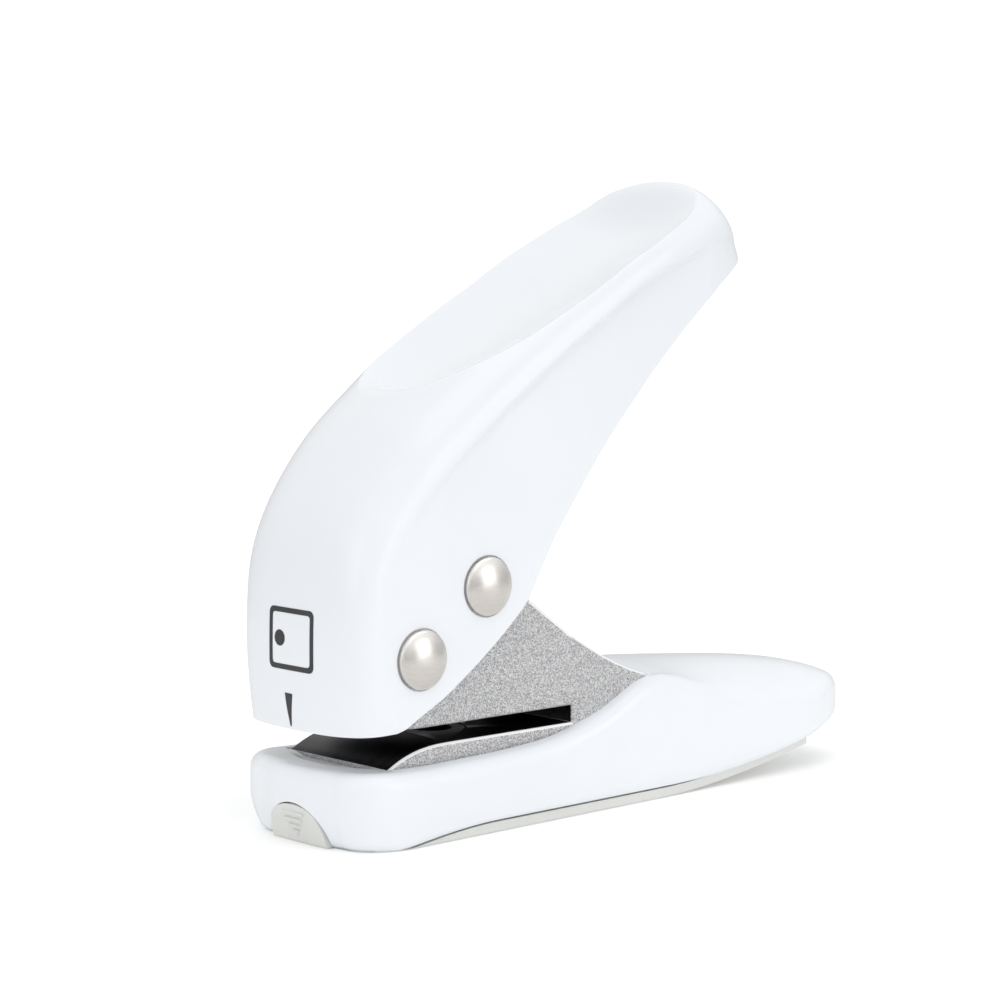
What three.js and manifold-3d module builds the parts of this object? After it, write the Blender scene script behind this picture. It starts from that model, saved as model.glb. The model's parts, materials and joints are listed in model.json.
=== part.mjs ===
// Single-hole paper punch.
// Millimetres, +Z up. The nose points to -X, the tail of base and handle to +X.
// The origin is on the desk, under the middle of the base.

import * as THREE from 'three';
import { mergeVertices } from 'three/addons/utils/BufferGeometryUtils.js';
import Module from 'manifold-3d';

const wasm = await Module();
wasm.setup();

// ---------------------------------------------------------------- driving dimensions

const baseLength = 110;
const baseOverhang = 1.2;
const baseFrontTop = 11.2;
const baseCrownTop = 19.8;
const baseCornerRadius = 6.8;
const baseShoulder = 3.6;
const baseWall = 2;

const handleLength = 84.5;
const handleWidth = 27.6;
const handleWall = 2.1;
const handleTop = 93.2;
const handleMouth = 2.7;
const noseCornerRadius = 7.4;
const shoulderRadius = 4;
const scoopLength = 86;
const scoopDepth = 5;
const tailRadius = 6;

const frameSetback = 8.4;
const frameLength = 51;
const frameWall = 2.2;
const frameRise = 15.9;

const lipRise = 2.4;
const lipThickness = 3.2;
const throatHeight = 2.5;
const throatDepth = 35.4;
const jawDepth = 5.3;

const pivotInset = 4;
const pivotRise = 12.9;
const driveRadius = 15.4;
const driveRestAngle = THREE.MathUtils.degToRad(37.1);
const pressAngle = THREE.MathUtils.degToRad(20);
const pinDiameter = 4.2;
const headDiameter = 8.4;
const headHeight = 1.5;

const punchReach = 13.5;
const punchDiameter = 6;
const punchNeck = 3.4;
const dieWall = 2;
const guideWall = 1.7;
const rollerDiameter = 6.8;
const collarStep = 1.5;
const collarHeight = 1.8;
const springWire = 0.6;
const springCoils = 4.5;

const leverSheet = 1.3;
const washerThickness = 0.8;
const washerDiameter = 8.4;

const coverThickness = 1.4;
const flangeSetback = 25.4;
const hingeInset = 11;
const hingeRise = 7.4;
const hingePinDiameter = 2;
const hingePinLength = 16.8;
const knuckleDiameter = 4.4;
const knuckleLength = 11.2;
const tabWidth = 12.2;
const tabHeight = 5.6;

const screwHeadDiameter = 4.6;
const screwShankDiameter = 2;

// Clearances shared by every fit.
const restGap = 0.3;
const boreGap = 0.3;
const slideGap = 0.25;
const cutGap = 0.15;
const frameGap = 0.45;
const springGap = 0.7;

// ---------------------------------------------------------------- dependent dimensions

const frontX = -baseLength / 2;
const tailX = baseLength / 2;
const handleTailX = frontX + handleLength;
const handleOuter = handleWidth / 2;
const handleInner = handleOuter - handleWall;
const baseWidth = handleWidth + 2 * baseOverhang;
const baseTailHalf = baseWidth / 2 - 3;

const frameFrontX = frontX + frameSetback;
const frameRearX = frameFrontX + frameLength;
const frameWidth = 2 * (handleInner - frameGap);
const plateInner = frameWidth / 2 - frameWall;
const throatFloor = baseFrontTop + lipRise;
const throatCeiling = throatFloor + throatHeight;
const throatBackX = frameFrontX + throatDepth;
const jawTop = throatCeiling + jawDepth;
const lipBottom = throatFloor - lipThickness;
const handleBottom = throatFloor + handleMouth;
const deckTop = baseFrontTop - 4.3;
const deckBottom = deckTop - 1.5;
const frameBottom = deckTop + restGap;
const trayX = frameFrontX + 6.6;

const pivotX = frameFrontX + pivotInset;
const pivotZ = throatFloor + pivotRise;
const frameTop = pivotZ + frameRise;
const driveX = pivotX + driveRadius * Math.cos(driveRestAngle);
const driveZ = pivotZ + driveRadius * Math.sin(driveRestAngle);
const punchX = pivotX + punchReach;
const collarTop = driveZ - rollerDiameter / 2 - slideGap;
const collarBottom = collarTop - collarHeight;
const collarDiameter = punchDiameter + 2 * collarStep;
const springMean = punchDiameter + springWire + 2 * springGap;
const leverOuter = plateInner - restGap - washerThickness - slideGap;
const leverInner = leverOuter - leverSheet;

const coverFlangeX = frontX + flangeSetback;
const coverHingeX = tailX - hingeInset;
const hingePin = hingePinLength / 2;
const knuckle = knuckleLength / 2;

const screwSide = frameWidth / 2 - 3.25;
const screwPlaces = {
  front_left: [frameFrontX + 3, screwSide],
  front_right: [frameFrontX + 3, -screwSide],
  rear: [frameRearX - 8.2, 0],
};

// Helper blocks that reach outside every piece end here.
const beyond = 150;

// ---------------------------------------------------------------- solids

function solid(geometry) {
  geometry.deleteAttribute('normal');
  geometry.deleteAttribute('uv');
  const merged = mergeVertices(geometry, 1e-4);
  const mesh = new wasm.Mesh({
    numProp: 3,
    vertProperties: new Float32Array(merged.attributes.position.array),
    triVerts: new Uint32Array(merged.index.array),
  });
  return new wasm.Manifold(mesh);
}

// An outline in the plane of its extrusion, `depth` thick, with its long edges rounded by `bevel`.
function extrude(shape, depth, bevel, curveSegments) {
  return new THREE.ExtrudeGeometry(shape, {
    depth: depth - 2 * bevel,
    bevelEnabled: bevel > 0,
    bevelThickness: bevel,
    bevelSize: bevel,
    bevelOffset: -bevel,
    bevelSegments: 4,
    curveSegments,
  });
}

// A plan outline in (x, y), raised from z0 to z1.
function plate(shape, z0, z1, bevel = 0) {
  return solid(extrude(shape, z1 - z0, bevel, 10).translate(0, 0, z0 + bevel));
}

// A side outline in (x, z), centred on the middle plane.
function slab(shape, width, bevel = 0, curveSegments = 10) {
  const geometry = extrude(shape, width, bevel, curveSegments);
  return solid(geometry.rotateX(Math.PI / 2).translate(0, width / 2 - bevel, 0));
}

function box(x0, x1, y0, y1, z0, z1) {
  const geometry = new THREE.BoxGeometry(x1 - x0, y1 - y0, z1 - z0);
  return solid(geometry.translate((x0 + x1) / 2, (y0 + y1) / 2, (z0 + z1) / 2));
}

// A rod across the punch, along y.
function crossRod(x, z, y0, y1, diameter, segments = 32) {
  const geometry = new THREE.CylinderGeometry(diameter / 2, diameter / 2, y1 - y0, segments);
  return solid(geometry.translate(x, (y0 + y1) / 2, z));
}

// The bore that a pin across the punch turns in.
function pinBore(x, z) {
  return crossRod(x, z, -beyond, beyond, pinDiameter + 2 * boreGap);
}

// An upright rod.
function post(x, y, z0, z1, diameter, segments = 32) {
  const geometry = new THREE.CylinderGeometry(diameter / 2, diameter / 2, z1 - z0, segments);
  return solid(geometry.rotateX(Math.PI / 2).translate(x, y, (z0 + z1) / 2));
}

function polygon(points) {
  return new THREE.Shape(points.map(([x, y]) => new THREE.Vector2(x, y)));
}

// ---------------------------------------------------------------- outlines

// A plan outline with rounded front corners, a slightly bowed front and a round tail.
function planOutline(x0, x1, half, corner, tailHalf, tailReach) {
  const bow = 0.8;
  const shape = new THREE.Shape();
  shape.moveTo(x0 + bow + corner, -half);
  shape.lineTo(x1 - tailReach, -tailHalf);
  shape.bezierCurveTo(x1 - 0.4 * tailReach, -tailHalf, x1, -0.6 * tailHalf, x1, 0);
  shape.bezierCurveTo(x1, 0.6 * tailHalf, x1 - 0.4 * tailReach, tailHalf, x1 - tailReach, tailHalf);
  shape.lineTo(x0 + bow + corner, half);
  shape.bezierCurveTo(x0 + bow + 0.4 * corner, half, x0 + bow, half - 0.6 * corner, x0 + bow, half - corner);
  shape.quadraticCurveTo(x0 - bow, 0, x0 + bow, corner - half);
  shape.bezierCurveTo(x0 + bow, 0.6 * corner - half, x0 + bow + 0.4 * corner, -half, x0 + bow + corner, -half);
  return shape;
}

// The line from the nose up over the grip, shared by the outer shapes of the handle.
function gripLine(shape) {
  shape.lineTo(frontX, handleBottom + 13);
  shape.bezierCurveTo(frontX, handleTop - 50, frontX + 6.5, handleTop - 39, frontX + 18.5, handleTop - 29.7);
  shape.bezierCurveTo(frontX + 29, handleTop - 22, frontX + 53, handleTop - 8.6, handleTailX - 9.5, handleTop - 1.2);
}

// The handle's block with its rounded shoulders, longer than the handle at the bottom and the tail.
function shoulderedBlock() {
  const shape = new THREE.Shape();
  shape.moveTo(frontX, -beyond);
  gripLine(shape);
  shape.lineTo(handleTailX - 4, handleTop);
  shape.lineTo(beyond, handleTop);
  shape.lineTo(beyond, -beyond);
  shape.closePath();
  return slab(shape, handleWidth + 0.2, shoulderRadius, 8);
}

function handleSide() {
  const shape = new THREE.Shape();
  shape.moveTo(frontX, handleBottom);
  gripLine(shape);
  shape.bezierCurveTo(handleTailX - 4, handleTop + 0.4, handleTailX - 1.6, handleTop - 3, handleTailX, handleTop - 11);
  shape.lineTo(handleTailX - 1.5, handleTop - 13.2);
  shape.bezierCurveTo(
    handleTailX - 17.5, handleTop - 17, handleTailX - 34.5, handleTop - 34, driveX + 14.3, driveZ + 8.1,
  );
  shape.bezierCurveTo(driveX + 11.3, driveZ + 3.1, driveX + 10.8, driveZ - 0.9, driveX + 8.3, driveZ - 3.3);
  shape.bezierCurveTo(
    driveX - 0.7, handleBottom + 6.6, pivotX + 3.6, handleBottom + 1.6, frontX + 8, handleBottom + 0.3,
  );
  shape.closePath();
  return slab(shape, 2 * handleWidth);
}

// The hollow under the handle's skin, open downwards and to the rear.
function handleHollow() {
  const skinX = frontX + handleWall + 0.2;
  const tailInner = handleTailX - handleWall - 3;
  const shape = new THREE.Shape();
  shape.moveTo(skinX, handleBottom - 10);
  shape.lineTo(skinX, handleBottom + 14);
  shape.bezierCurveTo(skinX, handleTop - 51, skinX + 6.5, handleTop - 42, skinX + 18, handleTop - 34.2);
  shape.bezierCurveTo(frontX + 33, handleTop - 28, frontX + 57, handleTop - 17.6, tailInner, handleTop - 10.8);
  shape.lineTo(tailInner, handleTop - 30);
  shape.lineTo(frontX + 65, handleBottom + 3.7);
  shape.lineTo(frontX + 25, handleBottom - 10);
  shape.closePath();
  const plan = planOutline(skinX, tailInner, handleInner, noseCornerRadius - handleWall, handleInner, 16);
  return slab(shape, 2 * handleInner).intersect(plate(plan, -beyond, beyond));
}

// The oval palm scoop, a tilted ellipsoid that sinks `scoopDepth` into the top of the handle.
function palmScoop() {
  const slope = THREE.MathUtils.degToRad(28);
  const rise = 2 * scoopDepth;
  const geometry = new THREE.SphereGeometry(1, 40, 24);
  geometry.rotateX(Math.PI / 2).scale(scoopLength / 2, handleOuter + 0.2, rise + scoopDepth).rotateY(-slope);
  const x = frontX + 46 - rise * Math.sin(slope);
  return solid(geometry.translate(x, 0, handleTop - 15 + rise * Math.cos(slope)));
}

// The line over the base, `inset` below its outer surface: a low front, a crown, a falling tail.
function crownLine(shape, inset) {
  const low = baseFrontTop - inset;
  const crown = baseCrownTop - inset;
  shape.lineTo(frameRearX - 29.4, low + 0.1);
  shape.bezierCurveTo(frameRearX - 12.4, low + 0.8, frameRearX - 7.4, crown - 1, frameRearX + 4.6, crown);
  shape.bezierCurveTo(frameRearX + 17.6, crown - 0.3, tailX - 15, crown - 2, tailX - 4, crown - 7.2);
}

// Everything under that line, with its long top edges rounded.
function underCrown(inset, width, round) {
  const shape = new THREE.Shape();
  shape.moveTo(-beyond, -beyond);
  shape.lineTo(-beyond, baseFrontTop - inset);
  crownLine(shape, inset);
  shape.lineTo(beyond, 0);
  shape.lineTo(beyond, -beyond);
  shape.closePath();
  return slab(shape, width, round, 8);
}

// The side of the base, leaning in towards the desk at the front.
function baseSide() {
  const shape = new THREE.Shape();
  shape.moveTo(frontX + 6, -14);
  shape.lineTo(frontX, baseFrontTop - 6.6);
  shape.quadraticCurveTo(frontX, baseFrontTop, frontX + 4.5, baseFrontTop);
  crownLine(shape, 0);
  shape.quadraticCurveTo(tailX, baseCrownTop - 8.6, tailX, baseCrownTop - 11);
  shape.lineTo(tailX, -14);
  shape.closePath();
  return slab(shape, 2 * baseWidth);
}

// Everything above the curve that the bottom of the chip cover follows, raised by `up`.
function aboveUnderside(up) {
  const shape = new THREE.Shape();
  shape.moveTo(-beyond, up);
  shape.lineTo(tailX - 47, up);
  shape.bezierCurveTo(tailX - 33, up + 0.2, tailX - 17, up + 3.4, tailX + 5, up + 7.4);
  shape.lineTo(tailX + 5, beyond);
  shape.lineTo(-beyond, beyond);
  shape.closePath();
  return slab(shape, 2 * beyond);
}

// Everything above the lower edge of the base shell: on the desk at the front, over the cover behind.
function aboveShellEdge() {
  const step = restGap + coverThickness;
  const front = box(-beyond, coverFlangeX - 7, -beyond, beyond, 0, beyond);
  const rear = polygon([
    [coverFlangeX - 8, 0], [coverFlangeX - restGap, step], [beyond, step], [beyond, beyond],
    [coverFlangeX - 8, beyond],
  ]);
  const level = box(-beyond, frameRearX, -beyond, beyond, 0, beyond);
  return slab(rear, 2 * beyond).add(front).intersect(aboveUnderside(step).add(level));
}

function baseInnerPlan(gap) {
  const half = baseWidth / 2 - baseWall - gap;
  const tailHalf = baseTailHalf - baseWall - 0.4 - gap;
  return planOutline(frontX + baseWall + gap, tailX - 8 - gap, half, baseCornerRadius - baseWall, tailHalf, 14);
}

// The half-oval door lug in the front wall of the base.
function frontLug(width, height, x0, x1) {
  const shape = new THREE.Shape();
  shape.moveTo(-width / 2, -10);
  shape.lineTo(width / 2, -10);
  shape.lineTo(width / 2, 0);
  shape.bezierCurveTo(width / 2, 0.75 * height, 0.3 * width, height, 0, height);
  shape.bezierCurveTo(-0.3 * width, height, -width / 2, 0.75 * height, -width / 2, 0);
  shape.closePath();
  return solid(extrude(shape, x1 - x0, 0, 8).rotateX(Math.PI / 2).rotateZ(Math.PI / 2).translate(x0, 0, 0));
}

// ---------------------------------------------------------------- base and cover

function basePlan(gap) {
  const half = baseWidth / 2 - gap;
  return planOutline(frontX + gap, tailX - gap, half, baseCornerRadius - gap, baseTailHalf - gap, 20);
}

function baseOuter() {
  return underCrown(0, baseWidth + 0.2, baseShoulder)
    .intersect(baseSide())
    .intersect(plate(basePlan(0), -beyond, beyond));
}

function baseShell() {
  const side = frameWidth / 2 + restGap;
  const chamber = plate(baseInnerPlan(0), -beyond, deckBottom);
  const tailHollow = underCrown(baseWall, baseWidth - 2 * baseWall - 4, 0)
    .intersect(plate(baseInnerPlan(0), -beyond, beyond))
    .intersect(box(frameRearX + restGap + baseWall, beyond, -beyond, beyond, -beyond, beyond));
  const pocket = box(frameFrontX - restGap, frameRearX + restGap, -side, side, deckTop, beyond);
  const chipWindow = box(trayX, throatBackX + 1.2, -6.5, 6.5, 0, deckTop + 1);
  const tabNotch = frontLug(tabWidth + 2 * restGap, tabHeight + restGap, frontX - 2, frontX + baseWall + 2);
  const reach = hingePin + 0.4;
  const room = knuckle + 0.4;
  const hingeBore = crossRod(coverHingeX, hingeRise, -reach, reach, hingePinDiameter + 2 * boreGap, 20);
  const knuckleRoom = crossRod(coverHingeX, hingeRise, -room, room, knuckleDiameter + 5 * restGap, 24);
  let shell = baseOuter().intersect(aboveShellEdge());
  for (const cut of [chamber, tailHollow, pocket, chipWindow, tabNotch, hingeBore, knuckleRoom]) {
    shell = shell.subtract(cut);
  }
  for (const [x, y] of Object.values(screwPlaces)) {
    shell = shell.subtract(post(x, y, 0, deckTop + 1, screwShankDiameter + 2 * boreGap, 20));
  }
  return shell;
}

function chipCover() {
  const sheet = aboveUnderside(0).subtract(aboveUnderside(coverThickness));
  const inside = plate(baseInnerPlan(restGap), -beyond, beyond);
  const hingeFloor = coverHingeX - knuckleDiameter / 2 - 1;
  const flange = plate(basePlan(0.8), -beyond, beyond)
    .intersect(box(coverFlangeX, beyond, -beyond, beyond, -beyond, beyond));
  const lug = frontLug(tabWidth, tabHeight, frontX - 2, frontX + baseWall + 1)
    .intersect(baseOuter())
    .intersect(aboveUnderside(0));
  const floor = sheet
    .intersect(inside.add(flange))
    .intersect(box(-beyond, hingeFloor, -beyond, beyond, -beyond, beyond));
  const tongue = sheet.intersect(box(frameRearX, coverHingeX, -knuckle, knuckle, -beyond, beyond));
  const barrel = crossRod(coverHingeX, hingeRise, -knuckle, knuckle, knuckleDiameter, 24);
  const bore = crossRod(coverHingeX, hingeRise, -hingePin, hingePin, hingePinDiameter + 2 * boreGap, 20);
  return floor.add(tongue).add(lug).add(barrel).subtract(bore);
}

function coverHingePin() {
  return crossRod(coverHingeX, hingeRise, -hingePin, hingePin, hingePinDiameter, 20);
}

// A pan-head screw that comes up through the deck of the base into the frame.
function frameScrew([x, y]) {
  const headTop = deckBottom - restGap;
  const head = post(x, y, headTop - 1.6, headTop, screwHeadDiameter, 24);
  const shank = post(x, y, headTop - 0.5, frameBottom + 3.6, screwShankDiameter, 16);
  const slot = box(x - 0.3, x + 0.3, y - 1.5, y + 1.5, headTop - 2, headTop - 1);
  const cross = box(x - 1.5, x + 1.5, y - 0.3, y + 0.3, headTop - 2, headTop - 1);
  return head.add(shank).subtract(slot).subtract(cross);
}

// ---------------------------------------------------------------- punch frame

function frameSide() {
  const shape = new THREE.Shape();
  shape.moveTo(frameFrontX, frameBottom);
  shape.lineTo(frameFrontX, throatFloor - 2.7);
  shape.bezierCurveTo(frameFrontX + 3, throatFloor - 1, frameFrontX + 6, throatFloor, frameFrontX + 11, throatFloor);
  shape.lineTo(throatBackX, throatFloor);
  shape.lineTo(throatBackX, throatCeiling);
  shape.lineTo(pivotX + 1.6, throatCeiling);
  shape.quadraticCurveTo(frameFrontX, throatCeiling, frameFrontX, throatCeiling + 6);
  shape.lineTo(frameFrontX, frameTop - 14);
  shape.lineTo(pivotX + 1.6, frameTop);
  shape.lineTo(driveX + 1.8, frameTop);
  shape.lineTo(driveX + 10.7, frameTop - 9.7);
  shape.bezierCurveTo(
    frameRearX - 16.4, driveZ - 8.8, frameRearX - 9.4, baseCrownTop + 2.2, frameRearX, baseCrownTop - 0.6,
  );
  shape.lineTo(frameRearX, frameBottom);
  shape.closePath();
  return shape;
}

// The curved slots that the drive pin travels in, from rest to fully pressed.
function driveSlot() {
  const half = pinDiameter / 2 + boreGap + 0.1;
  const spare = THREE.MathUtils.degToRad(0.8);
  const high = driveRestAngle + spare;
  const low = driveRestAngle - pressAngle - spare;
  const end = (angle) => [pivotX + driveRadius * Math.cos(angle), pivotZ + driveRadius * Math.sin(angle)];
  const shape = new THREE.Shape();
  shape.absarc(pivotX, pivotZ, driveRadius + half, low, high, false);
  shape.absarc(...end(high), half, high, high + Math.PI, false);
  shape.absarc(pivotX, pivotZ, driveRadius - half, high, low, true);
  shape.absarc(...end(low), half, low + Math.PI, low + 2 * Math.PI, false);
  return slab(shape, frameWidth + 4, 0, 8);
}

function punchFrame() {
  const leverRoomX = driveX + 14.3;
  const upper = polygon([
    [-beyond, jawTop], [leverRoomX, jawTop], [leverRoomX, jawTop + 6], [beyond, jawTop + 6],
    [beyond, beyond], [-beyond, beyond],
  ]);
  const rearPocket = box(throatBackX + 2.2, frameRearX - 2.8, 3.6, plateInner, 0, throatCeiling + 1);
  const cuts = [
    slab(upper, 2 * plateInner),
    box(trayX, throatBackX - 3, -plateInner, plateInner, 0, lipBottom),
    rearPocket,
    rearPocket.mirror([0, 1, 0]),
    post(punchX, 0, lipBottom - 1, throatFloor + 1, punchDiameter + 2 * (dieWall + restGap)),
    post(punchX, 0, throatCeiling - 1, jawTop + 1, punchDiameter + 2 * (guideWall + restGap)),
    pinBore(pivotX, pivotZ),
    driveSlot(),
  ];
  let frame = slab(frameSide(), frameWidth, 0.6, 8);
  for (const cut of cuts) {
    frame = frame.subtract(cut);
  }
  for (const [x, y] of Object.values(screwPlaces)) {
    frame = frame.subtract(post(x, y, 0, frameBottom + 4.2, screwShankDiameter + 2 * boreGap, 20));
  }
  return frame;
}

// A ring around the punch.
function ring(z0, z1, outer, inner) {
  return post(punchX, 0, z0, z1, outer, 40).subtract(post(punchX, 0, z0 - 1, z1 + 1, inner, 40));
}

function dieRing() {
  return ring(lipBottom + 0.2, throatFloor - 0.1, punchDiameter + 2 * dieWall, punchDiameter + 2 * cutGap);
}

function guideBush() {
  return ring(throatCeiling + 0.1, jawTop, punchDiameter + 2 * guideWall, punchDiameter + 2 * slideGap);
}

// ---------------------------------------------------------------- pins, washers, punch

// A round pin across the punch with a domed head on the near side.
function headedPin(x, z) {
  const headY = handleOuter + restGap;
  const shank = crossRod(x, z, -headY - 0.4, handleOuter - 0.4, pinDiameter);
  return domedHead(x, z).add(shank);
}

// A shallow dome of `headDiameter`, resting on the near wall of the handle.
function domedHead(x, z) {
  const radius = headDiameter / 2;
  const profile = new THREE.Path();
  profile.moveTo(0, -headHeight);
  profile.bezierCurveTo(0.6 * radius, -headHeight, radius, -0.6 * headHeight, radius, 0);
  profile.lineTo(0, 0);
  const dome = new THREE.LatheGeometry(profile.getPoints(6), 32);
  return solid(dome.translate(x, -handleOuter - restGap, z));
}

// The riveted cap on the far end of a pin.
function farCap(x, z) {
  return domedHead(x, z).mirror([0, 1, 0]);
}

function handleShell() {
  const plan = planOutline(frontX, handleTailX, handleOuter, noseCornerRadius, handleOuter, 19);
  return shoulderedBlock()
    .intersect(handleSide())
    .intersect(plate(plan, -beyond, handleTop - 0.6, tailRadius))
    .subtract(handleHollow())
    .subtract(palmScoop())
    .subtract(pinBore(pivotX, pivotZ))
    .subtract(pinBore(driveX, driveZ));
}

// The pressed steel lever inside the handle, a channel open downwards.
function leverChannel() {
  const edge = [
    [pivotX - 4.3, pivotZ - 1.6], [pivotX - 2.6, pivotZ - 4], [pivotX + 1.6, pivotZ - 4.4],
    [driveX + 2.9, driveZ - 3.8], [driveX + 9.4, driveZ + 4.4], [pivotX + 33.6, handleTop - 38.3],
    [pivotX + 37.1, handleTop - 32.3], [pivotX + 33.6, handleTop - 26.8], [pivotX + 9.6, handleTop - 37.3],
    [pivotX + 1.6, handleTop - 46.3], [pivotX - 4.4, pivotZ + 8.4],
  ];
  const openX = pivotX + 52.6;
  const inside = edge.map(([x, z]) => [x + 0.9, z - 1.5]);
  inside.splice(0, 6, [pivotX - 3.5, 0], [openX, 0], [openX, handleTop - 33.8]);
  return slab(polygon(edge), 2 * leverOuter)
    .subtract(slab(polygon(inside), 2 * leverInner))
    .subtract(pinBore(pivotX, pivotZ))
    .subtract(pinBore(driveX, driveZ));
}

function pivotWasher(side) {
  const inner = leverOuter + slideGap;
  const [y0, y1] = side < 0 ? [-inner - washerThickness, -inner] : [inner, inner + washerThickness];
  return crossRod(pivotX, pivotZ, y0, y1, washerDiameter).subtract(pinBore(pivotX, pivotZ));
}

function driveRoller() {
  const half = leverInner - slideGap;
  return crossRod(driveX, driveZ, -half, half, rollerDiameter).subtract(pinBore(driveX, driveZ));
}

// The cutting pin: a hollow-ground tip, a round shank and a neck that carries the collar.
function punchPin() {
  const tip = throatCeiling + 0.4;
  const shank = post(punchX, 0, tip, collarBottom - restGap, punchDiameter, 40);
  const neck = post(punchX, 0, collarBottom - 1, collarTop, punchNeck, 24);
  const grind = crossRod(punchX, tip - 4.2, -10, 10, 10, 48);
  return shank.add(neck).subtract(grind);
}

// The return spring, a round-wire helix between the jaw and the collar.
function returnSpring() {
  const bottom = jawTop + restGap + springWire / 2;
  const top = collarBottom - restGap - springWire / 2;
  class Helix extends THREE.Curve {
    getPoint(t, target = new THREE.Vector3()) {
      const angle = 2 * Math.PI * springCoils * t;
      const x = punchX + (springMean / 2) * Math.cos(angle);
      return target.set(x, (springMean / 2) * Math.sin(angle), bottom + (top - bottom) * t);
    }
  }
  const wire = new THREE.Shape().absarc(0, 0, springWire / 2, 0, 2 * Math.PI);
  const options = { steps: 108, curveSegments: 4, extrudePath: new Helix() };
  return solid(new THREE.ExtrudeGeometry(wire, options));
}

// ---------------------------------------------------------------- assembly

const whitePlastic = { color: 0xf3f6f8, roughness: 0.22, metalness: 0 };
const clearPlastic = { color: 0xe4e8e2, roughness: 0.35, metalness: 0 };
const silverPaint = { color: 0xb4b6b8, roughness: 0.45, metalness: 0.8 };
const nickel = { color: 0xcfc9bd, roughness: 0.25, metalness: 1 };
const toolSteel = { color: 0x8d9094, roughness: 0.3, metalness: 1 };
const zincSteel = { color: 0xb9bcc0, roughness: 0.4, metalness: 1 };
const nylon = { color: 0xe9e6dc, roughness: 0.5, metalness: 0 };

const punch = new THREE.Group();

function add(name, body, material) {
  const { vertProperties, triVerts } = body.getMesh();
  const geometry = new THREE.BufferGeometry();
  geometry.setAttribute('position', new THREE.BufferAttribute(vertProperties, 3));
  geometry.setIndex(new THREE.BufferAttribute(triVerts, 1));
  geometry.computeVertexNormals();
  const mesh = new THREE.Mesh(geometry, new THREE.MeshStandardMaterial(material));
  mesh.name = name;
  punch.add(mesh);
}

add('base_shell', baseShell(), whitePlastic);
add('punch_frame', punchFrame(), silverPaint);
add('die_ring', dieRing(), toolSteel);
add('guide_bush', guideBush(), toolSteel);
for (const [place, position] of Object.entries(screwPlaces)) {
  add(`frame_screw_${place}`, frameScrew(position), zincSteel);
}
add('pivot_pin', headedPin(pivotX, pivotZ), nickel);
add('pivot_cap', farCap(pivotX, pivotZ), nickel);
add('cover_hinge_pin', coverHingePin(), zincSteel);
add('chip_cover', chipCover(), clearPlastic);
add('handle_shell', handleShell(), whitePlastic);
add('lever_channel', leverChannel(), zincSteel);
add('drive_pin', headedPin(driveX, driveZ), nickel);
add('drive_cap', farCap(driveX, driveZ), nickel);
add('drive_roller', driveRoller(), toolSteel);
add('pivot_washer_left', pivotWasher(1), nylon);
add('pivot_washer_right', pivotWasher(-1), nylon);
add('punch_pin', punchPin(), toolSteel);
add('punch_collar', ring(collarBottom, collarTop, collarDiameter, punchNeck + 2 * restGap), toolSteel);
add('return_spring', returnSpring(), zincSteel);

export default punch;
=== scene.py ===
# %% [markdown]
# # A single-hole paper punch
# A palm-grip punch: a white lever handle, a silver punch frame and a white base with a
# door for the cut discs. The measured model gives every size, place and moving body.
# This file gives the punch its fine surfaces and finishes. Lengths are worked out in
# millimetres, with the nose at -X and the tail at +X, and then scaled to metres.

# %% The frame
import json

import bmesh
import bpy
import numpy as np
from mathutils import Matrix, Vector


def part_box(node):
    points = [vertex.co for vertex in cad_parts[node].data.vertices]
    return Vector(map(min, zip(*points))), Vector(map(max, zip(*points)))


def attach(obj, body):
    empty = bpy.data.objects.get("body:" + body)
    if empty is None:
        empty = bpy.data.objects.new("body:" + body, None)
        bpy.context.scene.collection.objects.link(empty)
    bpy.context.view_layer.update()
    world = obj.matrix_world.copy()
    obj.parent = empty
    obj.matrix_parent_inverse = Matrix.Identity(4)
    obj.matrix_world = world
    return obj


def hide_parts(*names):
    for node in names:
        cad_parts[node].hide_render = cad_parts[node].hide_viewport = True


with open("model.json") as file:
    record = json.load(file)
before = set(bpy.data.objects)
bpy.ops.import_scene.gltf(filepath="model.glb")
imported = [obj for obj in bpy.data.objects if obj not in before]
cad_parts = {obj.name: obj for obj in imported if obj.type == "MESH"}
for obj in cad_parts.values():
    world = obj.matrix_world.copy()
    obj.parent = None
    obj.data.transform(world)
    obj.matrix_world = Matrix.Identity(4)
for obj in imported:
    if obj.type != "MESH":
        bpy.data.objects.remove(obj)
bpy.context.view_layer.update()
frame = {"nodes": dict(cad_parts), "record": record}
MM = 0.001

# %% [markdown]
# ## Camera
# The punch could be seen square from the side, but then its nose and its rivets would
# never be in one view. So the camera looks a little down on the nose from the near
# side. Its lens is long, which keeps the sides nearly parallel, as in a catalogue.

# %% Camera
CAMERA_AZIMUTH, CAMERA_ELEVATION = np.radians(-42.0), np.radians(5.88)
CAMERA_TARGET = np.array([-15.4375, 0.0, 46.025])
CAMERA_DISTANCE = 445.55

away = np.array([
    np.sin(CAMERA_AZIMUTH) * np.cos(CAMERA_ELEVATION),
    -np.cos(CAMERA_AZIMUTH) * np.cos(CAMERA_ELEVATION),
    np.sin(CAMERA_ELEVATION),
])
camera_data = bpy.data.cameras.new("camera")
camera_data.lens, camera_data.sensor_width = 108.0, 36.0
camera_data.clip_start, camera_data.clip_end = 0.01, 20.0
camera = bpy.data.objects.new("camera", camera_data)
camera.location = Vector((CAMERA_TARGET + away * CAMERA_DISTANCE) * MM)
camera.rotation_euler = Vector(away).to_track_quat("Z", "Y").to_euler()
bpy.context.collection.objects.link(camera)
bpy.context.scene.camera = camera
bpy.context.scene.view_settings.view_transform = "Standard"
print("camera at", [round(v, 3) for v in camera.location])


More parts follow.
